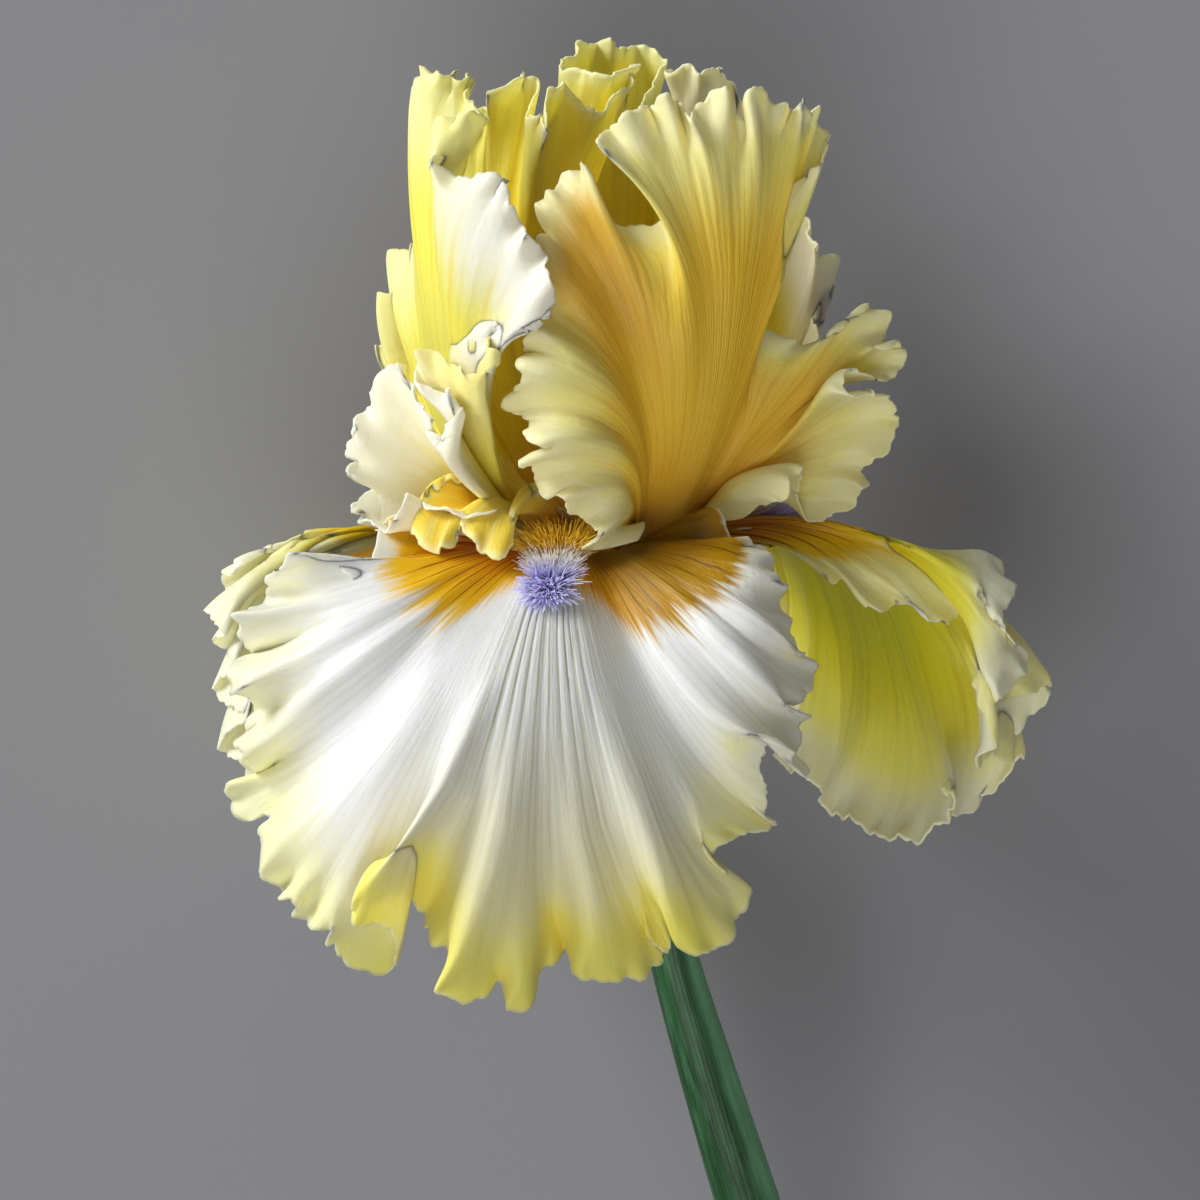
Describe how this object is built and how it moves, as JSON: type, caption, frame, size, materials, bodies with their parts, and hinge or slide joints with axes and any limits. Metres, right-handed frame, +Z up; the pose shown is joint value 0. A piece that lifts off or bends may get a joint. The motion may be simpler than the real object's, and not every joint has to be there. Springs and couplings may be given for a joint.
{
  "type": "iris flower",
  "caption": "Ruffled tall bearded iris flower, cut with a length of stem: golden frilled standards over white bearded falls, lying on its back as picked.",
  "frame": {"origin": "bottom centre of the whole flower's box, on the surface that it lies on", "axes": "+Y along the flower towards the tips of its standards, with the stem towards -Y; +Z up, from the back of the flower to its front fall; +X to the right as it is looked down on"},
  "size_m": [0.1334, 0.2754, 0.1167],
  "materials": {
    "fall": "silky white petal, yellow at the frilled edge, brown veins on gold haft",
    "fall_rear": "yellow petal with an olive back",
    "standard": "golden yellow petal with fine darker veins",
    "standard_pale": "cream petal with a bright yellow edge",
    "beard": "soft hairs, orange in the throat and pale lavender at the tip",
    "style": "amber petal",
    "stamen": "cream, matte",
    "green": "smooth waxy green",
    "bract": "papery green with a dry edge"
  },
  "bodies": {
    "root": {"fall_front": "fall", "fall_right": "fall_rear", "fall_left": "fall_rear", "standard_right": "standard", "standard_back": "standard", "standard_left": "standard_pale", "beard_front": "beard", "beard_right": "beard", "beard_left": "beard", "style_front": "style", "style_right": "style", "style_left": "style", "filament_front": "stamen", "filament_right": "stamen", "filament_left": "stamen", "anther_front": "stamen", "anther_right": "stamen", "anther_left": "stamen", "ovary_tube": "green", "stem": "green", "spathe_outer": "bract", "spathe_inner": "bract"}
  },
  "joints": []
}
